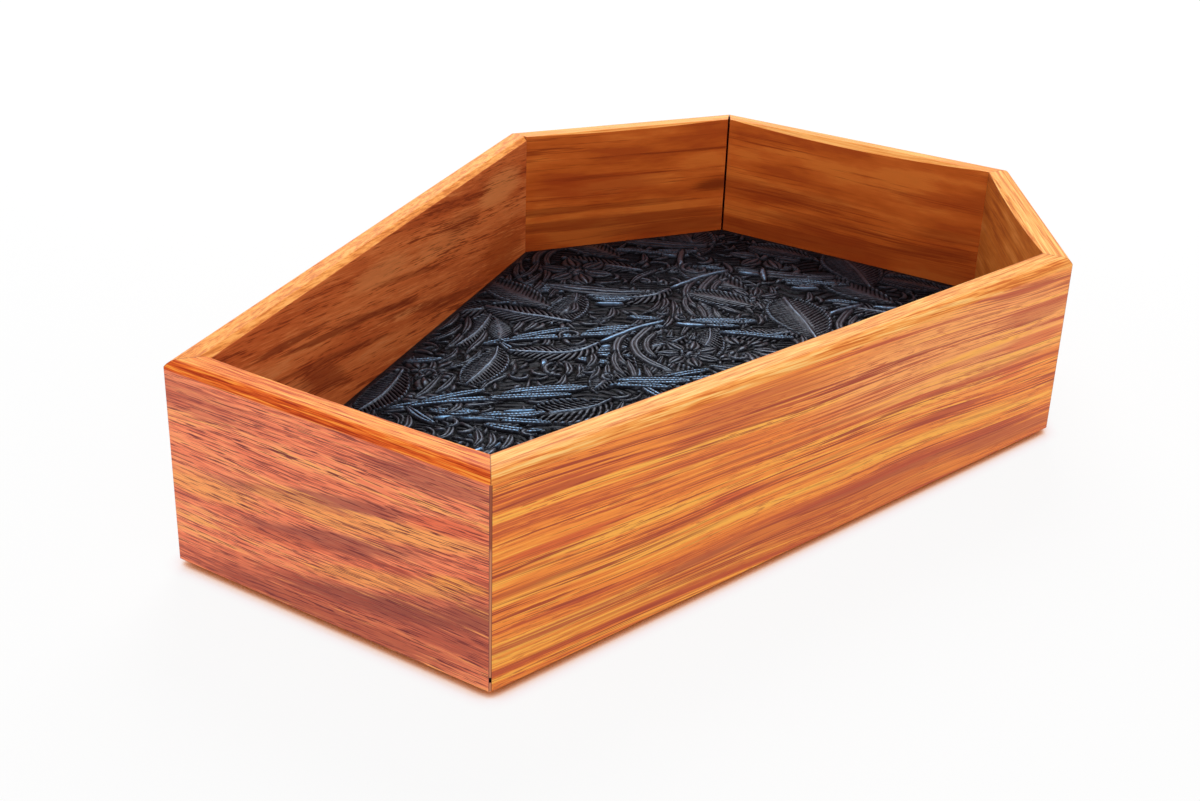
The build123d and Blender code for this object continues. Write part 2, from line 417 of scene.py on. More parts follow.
LEFT_MARKS = (
    (BROWN, 0.65, 74.5, 49.3, 6, 32, 1.6), (BROWN, 0.65, 47.8, 41.8, 9, 40, 1.5),
    (BROWN, 0.6, 7.8, 36, 12, 44, 1.6), (BROWN, 0.4, -12, 41.8, 11, 40, 1.6),
    (BROWN, 0.55, -15.5, 27.7, 11, 38, 2.2), (BROWN, 0.45, -49, 20, 8, 40, 2.6),
    (BROWN, 0.5, 51, 28.5, 20, 20, 6), (PALE, 0.8, -94, 50, 0, 26, 9), (PALE, 0.6, 9.5, 50, 5, 30, 6),
    (PALE, 0.5, 74, 32, 12, 18, 7), ((176, 76, 26), 0.6, -98, 22, 0, 30, 15), (PALE, 0.4, -40, 44, 6, 34, 6),
    (BROWN, 0.3, -57, 47.7, 5, 22, 6), (BROWN, 0.4, 60, 36, 10, 40, 1.2), (BROWN, 0.35, 25, 30, 12, 36, 1.3),
)
UMBER = (135, 56, 21)
LEFT_SHOULDER_MARKS = (
    # Painted shade: the first mark darkens the inner face along its bottom, above the leather.
    ((150, 58, 20), 0.4, 0, 14, 0, 140, 16),
    ((106, 41, 14), 0.6, -41, 34.7, 0, 16, 3.4), ((166, 58, 21), 0.5, 14.7, 39.7, 0, 40, 8),
    (UMBER, 0.5, 33, 30.4, 0, 34, 2), (UMBER, 0.4, -8, 30, 0, 26, 2), (UMBER, 0.5, 8.5, 23.5, 1, 80, 3.6),
    ((125, 50, 19), 0.4, -24, 18.5, 1, 50, 4.5),
)
HEAD_MARKS = (
    # Painted shade: the first mark darkens the inner face along its bottom, above the leather.
    ((144, 55, 18), 0.5, 0, 14, 0, 140, 16),
    ((145, 50, 15), 0.4, 50, 34.7, 0, 46, 6), ((140, 54, 19), 0.3, 12, 36.6, 0, 26, 4),
    ((130, 50, 19), 0.3, 14, 27, -3, 44, 3.4), ((112, 42, 17), 0.3, -45, 33.5, -3, 24, 3.4),
    ((125, 48, 19), 0.35, -44, 26, -5, 34, 3.2), ((135, 50, 19), 0.35, 20, 19, -2, 60, 5),
    ((170, 68, 25), 0.4, -44, 48, -9, 34, 5),
)
LOOKS = {
    "right_side_wall": dict(
        SIDE_WOOD, tilt=-2.0, seed=1.0, marks=SIDE_MARKS, bands=(420, 4.2, 3.8), streaks=(150, 1.0, 0.9),
        fine=(40, 0.42, 0.38), shares=(0.52, 0.2, 0.28), contrast=(0.385, 0.615), line_size=(44, 0.5, 0.46),
        line_share=(0.15, 0.95), line_patches=(140, 4, 4), pore_size=(7, 0.4, 0.36), pore_share=(0.1, 0.7),
    ),
    "right_shoulder_wall": dict(SIDE_WOOD, seed=9.0),
    "foot_wall": dict(
        FOOT_WOOD, tilt=-0.5, seed=5.0, bands=(80, 4, 4), streaks=(40, 0.9, 0.8), fine=(10, 0.36, 0.32),
        shares=(0.5, 0.16, 0.34), marks=FOOT_MARKS, line_size=(16, 0.36, 0.32), line_share=(0.2, 0.7),
        pore_size=(9, 0.3, 0.27), pore_share=(0.8, 1.0),
    ),
    "head_wall": dict(HEAD_WOOD, seed=13.0, inner_marks=HEAD_MARKS),
    "left_shoulder_wall": dict(HEAD_WOOD, seed=17.0, inner_marks=LEFT_SHOULDER_MARKS),
    "left_side_wall": dict(
        LEFT_WOOD, seed=21.0, tilt=8.0, bands=(90, 4.5, 4.5), streaks=(50, 1.4, 1.3), fine=(9, 0.5, 0.45),
        shares=(0.42, 0.2, 0.38), inner_marks=LEFT_MARKS,
    ),
}


def plywood():
    """Bare pale plywood, its grain along the tray."""
    shader = Shader("panel_plywood")
    place = shader.object_mm()
    long_grain = shader.noise(place, (7, 90, 3), 3, 0.6, 2)
    fine = shader.noise(place, (0.5, 16, 0.5), 2, offset=5)
    tone = shader.times_plus(fine, 0.35, shader.math("MULTIPLY", long_grain, 0.65))
    stops = [(0.38, srgb(190, 150, 104)), (0.5, srgb(212, 176, 130)), (0.62, srgb(226, 196, 152))]
    colour = shader.ramp(tone, stops)
    shader.bump(fine, 0.05 * MM, 0.5)
    return shader.finish(Base_Color=colour, Roughness=0.6)


# Leather floor. Its relief is worked out in mm: x from the tray's middle line, y from the foot end.

# Heights over the CAD plate's top: of the ground between the motifs, of the crests and of the pressed border
GROUND, CREST, BORDER = -1.05, 0.1, -0.6
BORDER_WIDTH = (0.3, 4.0)
# Share of a bead's groove in a thread's, and how sharp the crests between grooves are
WEAVE_DEPTH, GROOVE_POWER = 0.38, 1.6
# Depth of the ground's grooves, slope of a leaf's ribs off its midline, and a curl's last share of its radius
GROUND_CUT, RIB_LEAN, CURL_END = 0.4, 0.8, 0.25
POINT_SPACING, PATH_STEP = 0.42, 0.6
MOST_TRIANGLES = 190000
FILLER_LEAVES = 1200
# Where the motifs are repeated, in the order in which they are pressed
REPEATS = ((92, -28), (14, -116), (-80, 50), (104, 86), (52, 62), (-8, 62), (0, 0))


def ease(value, start, end):
    """0 at start, 1 at end, smooth between."""
    t = np.clip((value - start) / (end - start), 0, 1)
    return t * t * (3 - 2 * t)


def smooth_path(points):
    """Points about every PATH_STEP along a smooth curve through the given ones."""
    p = np.array(points, float)
    p = np.vstack([2 * p[0] - p[1], p, 2 * p[-1] - p[-2]])
    path = []
    for a, b, c, d in zip(p, p[1:], p[2:], p[3:]):
        count = max(2, int(np.linalg.norm(c - b) / PATH_STEP))
        t = np.linspace(0, 1, count, endpoint=False)[:, None]
        path.append(
            0.5 * (2 * b + (c - a) * t + (2 * a - 5 * b + 4 * c - d) * t**2
                   + (3 * b - 3 * c + d - a) * t**3)
        )
    return np.vstack(path + [p[-2:-1]])


class Relief:
    """Heights over a grid of points: a ground of winding grooves, on which one motif after another is laid.

    Fine ribs and veins are a wave across each motif, and beads and dots two crossing waves. Both are kept
    with the depth of their grooves, for the material."""

    def __init__(self, low, high, spacing):
        self.xs, self.ys = (np.arange(a, b + spacing, spacing) for a, b in zip(low, high))
        self.x, self.y = x, y = np.meshgrid(self.xs, self.ys)
        warp = 5 * np.sin(x / 17 + 1.3 * np.sin(y / 29)) + 4 * np.sin(y / 13 + np.sin(x / 23))
        self.wave = (0.85 * y - 0.5 * x + 1.4 * warp + 1.5 * np.sin(x / 5 + np.sin(y / 7))) / 2.8
        self.weave = np.zeros(x.shape)
        self.cut = np.full(x.shape, GROUND_CUT)
        self.height = GROUND + GROUND_CUT - self.cut * groove(self.wave)

    def near(self, path, reach):
        """The grid near a path: where, how far along it, how far to its left, past its ends, its length."""
        low, high = path.min(0) - reach, path.max(0) + reach
        rows = slice(*np.searchsorted(self.ys, (low[1], high[1])))
        columns = slice(*np.searchsorted(self.xs, (low[0], high[0])))
        x, y = self.x[rows, columns], self.y[rows, columns]
        tangent = np.gradient(path, axis=0)
        tangent /= np.linalg.norm(tangent, axis=1)[:, None]
        length = np.r_[0, np.cumsum(np.linalg.norm(np.diff(path, axis=0), axis=1))]
        nearest = ((x[..., None] - path[:, 0]) ** 2 + (y[..., None] - path[:, 1]) ** 2).argmin(-1)
        dx, dy = x - path[nearest, 0], y - path[nearest, 1]
        tx, ty = tangent[nearest, 0], tangent[nearest, 1]
        along = length[nearest] + dx * tx + dy * ty
        past = np.maximum(0, np.maximum(-along, along - length[-1]))
        return (rows, columns), np.clip(along, 0, length[-1]), dy * tx - dx * ty, past, length[-1]

    def lay(self, where, edge, height, wave, cut, weave=0.0, moat=0.7):
        """Lays a motif: height where edge, the distance inside its outline, is over 0, sunk just outside."""
        height = np.clip(height - cut * groove(wave, weave), GROUND, CREST + 0.3)
        old = self.height[where]
        cover = ease(edge, -0.3, 0.3)
        sunk = old + (GROUND - old) * ease(edge, -moat, -0.1)
        self.height[where] = sunk * (1 - cover) + height * cover
        self.cut[where] = self.cut[where] * ease(-edge, 0.0, 0.7) + cut * ease(edge, 0.0, 0.5)
        self.wave[where] = np.where(edge > 0, wave, self.wave[where])
        self.weave[where] = np.where(edge > 0, weave, self.weave[where])

    def leaf(self, points, width, crown=0.5, ribs=0.0, pitch=2.0, cord=0.0, rim=0.0, veins=0, dots=0.0,
             top=0.0, moat=0.7):
        """A pointed leaf: ribs slope off its midline, cut into dots if wanted, or veins run lengthwise.

        A cord runs along its middle and a rim along its outline."""
        path = smooth_path(points)
        where, along, side, past, length = self.near(path, width / 2 + 2)
        if not along.size:
            return
        u = along / length
        half = width / 2 * np.sin(np.pi * np.clip(u, 0.001, 0.999) ** 0.8) ** 0.75
        wave = (along + RIB_LEAN * np.abs(side)) / pitch
        across = np.hypot(side, past)
        share = np.clip(across / np.maximum(half, 0.4), 0, 1)
        height = top - crown * share**2
        cut = ribs * ease(share, 0.05, 0.3)
        weave = side / dots if dots else np.zeros(wave.shape)
        if veins:
            wave = strands(side / np.maximum(half, 0.4), veins)
            cut = np.full(wave.shape, 0.5)
        if rim:
            inner = half * (1 - rim)
            height = height - 0.15 + (0.3 + crown * share**2) * ease(across, inner - 0.2, inner + 0.4)
            cut = cut + (0.5 - cut) * ease(across, inner - 0.2, inner + 0.2)
            weave = np.where(across > inner, 0.0, weave)
        if cord:
            height = height - 0.35 * ease(-np.abs(side), -cord, -cord * 0.6)
            round_top = np.sqrt(np.clip(1 - (2 * side / cord) ** 2, 0, 1))
            on_cord = np.abs(side) < cord / 2
            height = np.where(on_cord, top - 0.35 + 0.5 * round_top, height)
            cut = np.where(on_cord, 0.0, cut)
        self.lay(where, half - across, height, wave, cut, weave, moat)

    def cord(self, points, width, cut=0.0, pitch=0.0, threads=1, top=0.15, taper=5.0):
        """A round ridge, narrower towards its ends, cut into threads, and into beads of the length pitch."""
        path = smooth_path(points)
        where, along, side, past, length = self.near(path, width / 2 + 2)
        if not along.size:
            return
        end = np.minimum(along, length - along)
        half = width / 2 * (0.45 + 0.55 * ease(end, 0, min(taper, length / 2)))
        across = np.hypot(side, past)
        round_top = np.sqrt(np.clip(1 - (across / half) ** 4, 0, 1))
        thread = strands(side / half, threads) if threads > 1 else np.zeros(along.shape)
        beads = along / pitch + 0.4 * np.round(thread) if pitch else np.zeros(along.shape)
        self.lay(where, half - across, top - 0.7 * (1 - round_top), thread, np.full(along.shape, cut), beads)

    def button(self, x, y, radius):
        self.leaf([(x - radius * 0.3, y), (x + radius * 0.3, y)], 2 * radius, crown=0.6, top=0.1)


def groove(wave, weave=0.0):
    """0 where both waves have a crest, at whole numbers, and up to 1 between the crests."""
    wave_crest = 1 - (0.5 - 0.5 * np.cos(2 * np.pi * wave)) ** 2
    weave_crest = 1 - WEAVE_DEPTH * (0.5 - 0.5 * np.cos(2 * np.pi * weave)) ** 2
    return (1 - wave_crest * weave_crest) ** GROOVE_POWER


def strands(share, count):
    """A wave with count crests over share = -1 to 1, and a groove at both ends."""
    return 0.5 * (count % 2 == 0) + count / 2 * np.clip(share, -1, 1)


def curl(x, y, radius, turns, start):
    """Points of a spiral that winds in from radius, from the angle start in degrees."""
    count = int(abs(turns) * 10) + 3
    angle = math.radians(start) + np.linspace(0, 2 * np.pi * turns, count)
    r = radius * np.linspace(1, CURL_END, count)
    return list(zip(x + r * np.cos(angle), y + r * np.sin(angle)))


def shifted(points, dx, dy):
    return [(x + dx, y + dy) for x, y in points]


def lay_motifs(relief, dx, dy):
    """The leather's repeat: petals, leaves, stems, scrolls and flowers, moved by dx, dy."""
    def leaf(points, width, **style):
        relief.leaf(shifted(points, dx, dy), width, **style)

    def cord(points, width, **style):
        relief.cord(shifted(points, dx, dy), width, **style)

    def button(x, y, radius):
        relief.button(x + dx, y + dy, radius)

    # Flame-shaped petals
    for points in (
        [(-80, 164), (-78, 152), (-81, 141)], [(-76, 160), (-72.5, 151), (-70.5, 141)],
        [(-70, 166), (-66, 157), (-64, 149), (-61.5, 141)], [(-83, 171), (-77, 163), (-73.5, 155)],
        [(-88, 172), (-84, 160), (-85, 150)], [(-53, 103), (-54, 111), (-58, 124)],
        [(-50, 110), (-51, 118), (-54, 127)], [(-60, 128), (-57, 138), (-60, 150)],
        [(-66, 128), (-65, 138), (-68, 146)], [(-62, 116), (-64, 126), (-70, 134)],
        [(-17, 166), (-13, 160), (-7, 156)], [(-24, 150), (-21, 142), (-24, 134)],
        [(-28, 172), (-23, 166), (-21, 158)], [(-41, 112), (-37, 106), (-37, 99)],
        [(-22, 97), (-17, 92), (-15, 86)], [(-17, 98), (-12.5, 93), (-11, 87)],
        [(-11, 101), (-8, 95), (-7, 89)], [(-60, 208), (-55, 201), (-56, 194)],
        [(-45, 212), (-41, 204), (-43, 197)], [(-53, 258), (-55, 246), (-53, 236)],
    ):
        leaf(points, 3.4, crown=0.7, veins=2, top=0.1)
    # Big scroll, the flower inside it and another flower
    for points, width in (
        ([(-24, 208), (-22.5, 197), (-20, 188), (-14, 181), (-6, 177), (4, 175)], 3.4),
        ([(-28, 198), (-26, 187), (-22, 179), (-16, 172.5), (-8, 169)], 3.0),
        ([(-19, 202), (-17.5, 193), (-13, 186), (-7, 182)], 2.6),
        ([(-21, 177), (-17, 170), (-12, 165), (-7, 162)], 2.4),
        ([(-13, 173), (-7, 167), (-3, 162)], 2.4),
        ([(-6, 173), (-1, 168), (3, 164.5)], 2.2),
    ):
        cord(points, width, cut=0.3, threads=2, top=0.0)
    for x, y, starts, inner, outer, width, middle in (
        (1, 192, range(10, 370, 51), 3.5, 12, 7.0, 3.2), (-78, 236, range(20, 380, 60), 4, 15, 9.0, 3.6),
    ):
        for start in starts:
            cx, cy = math.cos(math.radians(start)), math.sin(math.radians(start))
            leaf([(x + r * cx, y + r * cy) for r in (inner, outer)], width, crown=0.6, veins=3)
        button(x, y, middle)
    # Leaves with a midrib and ribs
    leaf([(-61, 84), (-63, 98), (-67, 110), (-71, 119)], 15, ribs=0.8, pitch=1.9, cord=1.1, rim=0.2)
    leaf([(-46, 122), (-48.5, 134), (-52, 146), (-57, 155)], 15,
         crown=0.3, ribs=0.7, pitch=1.8, dots=1.0, cord=1.0, rim=0.2)
    leaf([(-52, 154), (-43, 159.5), (-36, 164), (-31.5, 171), (-30, 182)], 13, ribs=0.9, pitch=2.3, cord=1.6)
    leaf([(-16, 116), (-8, 124), (-2, 133), (0, 143)], 19,
         crown=0.3, ribs=0.9, pitch=2.4, dots=2.4, cord=1.1, rim=0.16)
    leaf([(-84, 183), (-70, 185), (-60, 188), (-49, 190.5)], 15, ribs=0.9, pitch=2.4, cord=2.2)
    leaf([(-100, 205), (-88, 202), (-78, 199.5), (-64, 197.5)], 17,
         ribs=0.4, pitch=2.2, dots=1.3, rim=0.2, crown=0.5)
    leaf([(-30, 243), (-16, 246), (-1, 247)], 15, ribs=0.4, pitch=1.8, dots=1.8, rim=0.22, crown=0.5)
    leaf([(-80, 215), (-65, 220.5), (-50, 228), (-41, 237)], 9, crown=0.5, veins=3, top=0.1)
    leaf([(2, 262), (10, 254), (20, 245), (32, 232)], 24,
         ribs=0.4, pitch=2.0, dots=2.0, rim=0.15, crown=0.4, cord=1.6)
    leaf([(-60, 160), (-66, 168), (-74, 176)], 9, ribs=0.6, pitch=1.6, crown=0.5)
    # Long stems
    for points, threads in (
        ([(-54.4, 91.5), (-47, 103), (-38, 112.5), (-27, 123), (-18, 130)], 2),
        ([(-49, 102), (-44, 112), (-38, 122)], 2),
        ([(-31, 124), (-25, 132), (-19, 138.5), (-12, 145)], 3),
        ([(-33, 118), (-26, 125), (-20, 130.5), (-13, 137)], 2),
        ([(-27, 105.5), (-20, 112), (-12, 120)], 3),
        ([(-32.5, 99), (-22, 106), (-13, 111), (-6, 115)], 2),
        ([(-22, 101), (-12, 104), (-4, 109)], 2),
        ([(-6.5, 151.5), (0, 157), (11, 163)], 2),
        ([(-6, 157), (2, 163), (13, 171.5)], 3),
        ([(-75, 124), (-70, 129), (-66, 134)], 2),
        ([(-50, 96), (-42, 93), (-36, 92)], 2),
        ([(0, 216), (8, 220.5), (16, 223.5), (24, 228)], 2),
        ([(-56, 215), (-50, 218), (-44, 223)], 3),
        ([(-35, 207), (-30, 210), (-24, 212.5)], 2),
    ):
        cord(points, 1.8 * threads, cut=0.6, pitch=1.3, threads=threads, top=0.3)
    for points, width in (
        ([(-31, 99.5), (-26, 103), (-20, 106.5)], 1.4), ([(-22.5, 112.5), (-15, 119.5)], 2.4),
        ([(-30, 181), (-28.5, 191), (-26.5, 201), (-22, 212)], 2.2), ([(-17, 213), (-8, 217.5)], 3.2),
        ([(-57, 283), (-52, 273), (-44.5, 263)], 2.4), ([(-20, 285), (-17, 280), (-13, 274)], 2.4),
        ([(-52, 211), (-44, 217)], 3.0),
    ):
        cord(points, width, top=0.3, taper=3.0)
    # Curls and buttons
    for x, y, radius, turns, start in (
        (-35.5, 140, 4.5, 0.7, 200), (-10, 157, 3.6, 0.7, 120), (-20, 157, 3.2, -0.7, 60),
        (-33, 96, 4.2, 0.6, 300), (-8, 106, 3.5, -0.6, 0), (-41, 268, 7.0, 0.9, 140),
        (-63, 121, 4.0, 0.7, 30), (-42, 180, 5.0, -0.8, 250),
    ):
        cord(curl(x, y, radius, turns, start), 1.5, cut=0.35, pitch=1.5, top=0.1)
    for x, y, radius in (
        (-57, 110, 1.3), (-20, 86, 2.0), (-18, 203, 2.4), (-4, 201, 1.8), (-40, 198, 2.2),
        (-7, 290, 4.0), (-8, 277, 2.6), (-5, 270, 2.2), (2, 278, 3.0), (12, 287, 3.0),
        (22.5, 231, 2.0), (-43.5, 235, 2.2), (-45, 247, 3.0), (-18.5, 153, 1.4), (-12, 97, 1.8),
    ):
        button(x, y, radius)
    for i in range(8):
        button(-12 + 2.7 * i, 236 - 1.4 * i + 0.02 * i * i, 1.3)


def leather_relief(low, high):
    """The pressed pattern between two corners: the ground, small leaves all over it, and the motifs."""
    relief = Relief(low, high, POINT_SPACING)
    draw = np.random.default_rng(7)
    for _ in range(FILLER_LEAVES):
        px, py = draw.uniform(low, high)
        angle = 0.7 + 0.9 * math.sin(px / 24) + 0.9 * math.sin(py / 27 + px / 41)
        bend, size = draw.uniform(-0.9, 0.9), draw.uniform(3, 8)
        points = [
            (px + size * t * math.cos(angle + bend * t), py + size * t * math.sin(angle + bend * t))
            for t in (0, 0.5, 1, 1.5)
        ]
        relief.leaf(points, draw.uniform(1.6, 3.8), crown=0.7, veins=1, top=-0.1, moat=0.4)
    for dx, dy in REPEATS:
        lay_motifs(relief, dx, dy)
    return relief


def outline_of(node):
    """The corners of a flat plate's outline, anticlockwise, as (x, y)."""
    top = max(v.co.z for v in node.data.vertices)
    corners = {(round(v.co.x, 6), round(v.co.y, 6)) for v in node.data.vertices if v.co.z > top - 1e-6}
    return np.array(sorted(corners, key=lambda c: math.atan2(c[1], c[0])))


def sides_of(outline):
    """Each side's unit direction and length."""
    steps = np.roll(outline, -1, axis=0) - outline
    lengths = np.linalg.norm(steps, axis=1)
    return steps / lengths[:, None], lengths


def inside(outline, x, y):
    """How far points lie inside a convex outline."""
    directions, _ = sides_of(outline)
    gaps = [(y - a[1]) * d[0] - (x - a[0]) * d[1] for a, d in zip(outline, directions)]
    return np.min(gaps, axis=0)


def plate_mesh(name, outline, bottom, xs, ys, tops, **values):
    """A closed plate with the outline, flat below and with the heights tops above, on the grid xs by ys.

    Points next to the outline move onto it. values are kept with the grid's points."""
    directions, lengths = sides_of(outline)
    gx, gy = np.meshgrid(xs, ys)
    middle_x, middle_y = np.meshgrid((xs[:-1] + xs[1:]) / 2, (ys[:-1] + ys[1:]) / 2)
    kept = inside(outline, middle_x, middle_y) > 0
    rows, columns = len(ys), len(xs)
    index = np.arange(rows * columns).reshape(rows, columns)
    quads = np.stack([index[:-1, :-1], index[:-1, 1:], index[1:, 1:], index[1:, :-1]], -1)[kept]
    touching = np.zeros((rows, columns), int)
    ends = (slice(None, -1), slice(1, None))
    for a in ends:
        for b in ends:
            touching[a, b] += kept
    border = (touching > 0) & (touching < 4)
    points = np.stack([gx, gy], -1).reshape(-1, 2)
    for i in np.flatnonzero(border.ravel()):
        p = points[i]
        along = np.clip(((p - outline) * directions).sum(1), 0, lengths)
        feet = outline + directions * along[:, None]
        points[i] = feet[np.linalg.norm(feet - p, axis=1).argmin()]
    used = np.flatnonzero(touching.ravel() > 0)
    renumber = np.full(rows * columns, -1)
    renumber[used] = np.arange(len(used))
    vertices = np.column_stack([points[used], tops.ravel()[used]])
    piece = new_piece(name, vertices, renumber[quads])
    for key, value in values.items():
        kept_value = piece.data.attributes.new(key, "FLOAT", "POINT")
        kept_value.data.foreach_set("value", value.ravel()[used].astype(np.float32))
    made = bmesh.new()
    made.from_mesh(piece.data)
    rim = [e for e in made.edges if e.is_boundary]
    below = bmesh.ops.extrude_edge_only(made, edges=rim)["geom"]
    for v in below:
        if isinstance(v, bmesh.types.BMVert):
            v.co.z = bottom
    floor_edges = [e for e in below if isinstance(e, bmesh.types.BMEdge) and e.is_boundary]
    bmesh.ops.contextual_create(made, geom=floor_edges)
    bmesh.ops.recalc_face_normals(made, faces=made.faces)
    made.to_mesh(piece.data)
    made.free()
    return piece


def thin_out(piece, most):
    """Merges faces where the surface is plain, down to most triangles."""
    modifier = piece.modifiers.new("thin_out", "DECIMATE")
    triangles = sum(len(p.vertices) - 2 for p in piece.data.polygons)
    modifier.ratio = min(1.0, most / triangles)
    graph = bpy.context.evaluated_depsgraph_get()
    done = bpy.data.meshes.new_from_object(piece.evaluated_get(graph))
    piece.modifiers.clear()
    piece.data = done


def leather():
    """The leather floor in the CAD plate's place, and the height of that plate's top."""
    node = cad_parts["leather_liner"]
    outline = outline_of(node)
    bottom, top = (c.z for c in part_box("leather_liner"))
    foot = cad_box[0][1]
    corners = (outline - [0, foot]) / MM
    relief = leather_relief(corners.min(axis=0) - 0.3, corners.max(axis=0) + 0.3)
    pressed = 1 - ease(inside(corners, relief.x, relief.y), *BORDER_WIDTH)
    relief.height += (BORDER - relief.height) * pressed
    relief.cut *= 1 - pressed
    piece = plate_mesh(
        "leather_floor", outline, bottom, relief.xs * MM, relief.ys * MM + foot, top + relief.height * MM,
        wave=relief.wave, weave=relief.weave, cut=relief.cut,
    )
    thin_out(piece, MOST_TRIANGLES)
    for polygon in piece.data.polygons:
        polygon.use_smooth = abs(polygon.normal.z) > 0.05 and polygon.center.z > bottom + 0.2 * MM
    return piece, top


# Painted shade: the leather's sheen is turned down towards the head end, where less light reaches it: from
# where to where this fades, and the shares at both
SHEEN_FADE_AS_PAINTED_SHADE_MM, SHEEN_FADE_AS_PAINTED_SHADE_SHARES = (-90.0, 110.0), (0.96, 0.5)


def leather_material(top):
    """Black leather, painted darker in its hollows as shade and dull there, polished on its crests, with a
    bluish reflection tint that stands in for bluish light.
    """
    shader = Shader("black_leather")
    place = shader.object_mm()
    cut = shader.add("Attribute", {}, out=2, attribute_name="cut")
    # The same grooves as in the mesh, fine enough to stay sharp between its points
    crests = []
    for name, deep in (("wave", 1.0), ("weave", WEAVE_DEPTH)):
        wave = shader.add("Attribute", {}, out=2, attribute_name=name)
        turned = shader.math("COSINE", shader.math("MULTIPLY", wave, 2 * math.pi))
        deepest = shader.math("POWER", shader.times_plus(turned, -0.5, 0.5), 2.0)
        crests.append(shader.times_plus(deepest, -deep, 1.0))
    grooves = shader.math("SUBTRACT", 1.0, shader.math("MULTIPLY", *crests))
    grooves = shader.math("MULTIPLY", shader.math("POWER", grooves, GROOVE_POWER), cut)
    pebble = shader.add("TexVoronoi", {"Vector": place, "Scale": 1.3}, feature="DISTANCE_TO_EDGE")
    pebble = shader.ramp(pebble, [(0.0, 0.0), (0.2, 1.0)])
    soft = shader.noise(place, (2.5, 2.5, 2.5), 3, 0.6)
    level = shader.add("SeparateXYZ", {0: place}, out=2)
    level = shader.math("SUBTRACT", level, grooves)
    height = shader.span(level, top / MM - 1.1, top / MM + CREST)
    tone = shader.math("MULTIPLY", height, soft)
    # Painted shade: the colour goes near black low in the hollows and lighter towards the crests.
    colour = shader.ramp(tone, [(0.05, srgb(7, 5, 6)), (0.6, srgb(57, 58, 68))])
    worn = shader.span(level, top / MM - 0.6, top / MM + 0.4)
    polish = shader.ramp(worn, [(0.0, 0.01), (0.45, 0.09), (0.68, 0.24), (0.84, 1.0)])
    lengthwise = shader.add("SeparateXYZ", {0: place}, out=1)
    # Painted shade: less sheen towards the head end.
    polish = shader.math("MULTIPLY", polish, shader.span(lengthwise, *SHEEN_FADE_AS_PAINTED_SHADE_MM, *SHEEN_FADE_AS_PAINTED_SHADE_SHARES))
    polish = shader.math("MULTIPLY", polish, shader.span(soft, 0.35, 0.6, 0.5, 1.0))
    fine = shader.math("ADD", shader.math("MULTIPLY", pebble, 0.05), shader.math("MULTIPLY", soft, 0.1))
    shader.bump(shader.math("SUBTRACT", fine, shader.math("MULTIPLY", grooves, 0.8)), MM, 0.8)
    # The bluish tint of the reflections is a painted colour that stands in for bluish light.
    tint = srgb(146, 200, 250)
    return shader.finish(
        Base_Color=colour, Roughness=0.3, IOR=2.6, Specular_IOR_Level=polish, Specular_Tint=tint
    )


# Felt pad: the spacing of its mesh and the height of its unevenness below, in mm

FELT_SPACING, FELT_UNEVEN = 1.6, 0.05


def felt_pad():
    """The pad in the CAD plate's place, slightly uneven below."""
    outline = outline_of(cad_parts["underside_pad"])
    bottom, top = (c.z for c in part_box("underside_pad"))
    spacing = FELT_SPACING * MM
    xs, ys = (np.arange(c.min() - spacing / 2, c.max() + spacing, spacing) for c in outline.T)
    draw = np.random.default_rng(3)
    piece = plate_mesh("felt_pad", outline, bottom, xs, ys, np.full((len(ys), len(xs)), top))
    for v in piece.data.vertices:
        if v.co.z < bottom + 1e-6:
            v.co.z += FELT_UNEVEN * MM * draw.random()
    return piece


def felt_material():
    """Dark pressed felt."""
    shader = Shader("pressed_felt")
    place = shader.object_mm()
    fibre = shader.noise(place, (0.5, 0.5, 0.5), 4, 0.7)
    cloud = shader.noise(place, (9, 9, 9), 2)
    tone = shader.times_plus(cloud, 0.4, shader.math("MULTIPLY", fibre, 0.6))
    colour = shader.ramp(tone, [(0.35, srgb(24, 23, 25)), (0.65, srgb(58, 56, 60))])
    shader.bump(fibre, 0.2 * MM, 0.8)
    return shader.finish(Base_Color=colour, Roughness=0.95, Specular_IOR_Level=0.15, Sheen_Weight=0.2)


# Stage

FLOOR_RADIUS = 6.0
FLOOR_GREY = (0.76, 0.76, 0.76, 1)
# The floor's colour in the gap under the walls, painted orange as bounce light from the wood
PAINTED_GAP_BOUNCE_COLOUR = (214, 130, 76)
# The floor as seen, from painted shade and orange bounce light in that gap to white, and that colour's
# largest share
FLOOR_GLOW_WITH_PAINTED_GAP_SHADE = [
    (0.2, (100, 50, 28)), (0.36, (206, 120, 66)), (0.46, (230, 166, 118)), (0.56, (250, 226, 214)),
    (0.74, (253, 243, 245)), (0.95, (255, 255, 255)),
]
FLOOR_WHITENING, GAP_REACH_MM = 0.9, 6
# World brightness behind the tray, as (sine of the height above the horizon, brightness), and in front of it
BEHIND = [(0.22, 1.2), (0.4, 0.3)]
IN_FRONT = 1.2
TOWARDS_VIEWER = (0.519, -0.855, 0.0)
LAMP_PLACE, LAMP_SIZE, LAMP_WATTS = (-0.56, 0.86, 0.96), 0.9, 16
CAMERA_PLACE, CAMERA_AIM, CAMERA_ROLL = (0.2732, -0.4501, 0.2553), (-0.0220, 0.0061, 0.0), 2.0


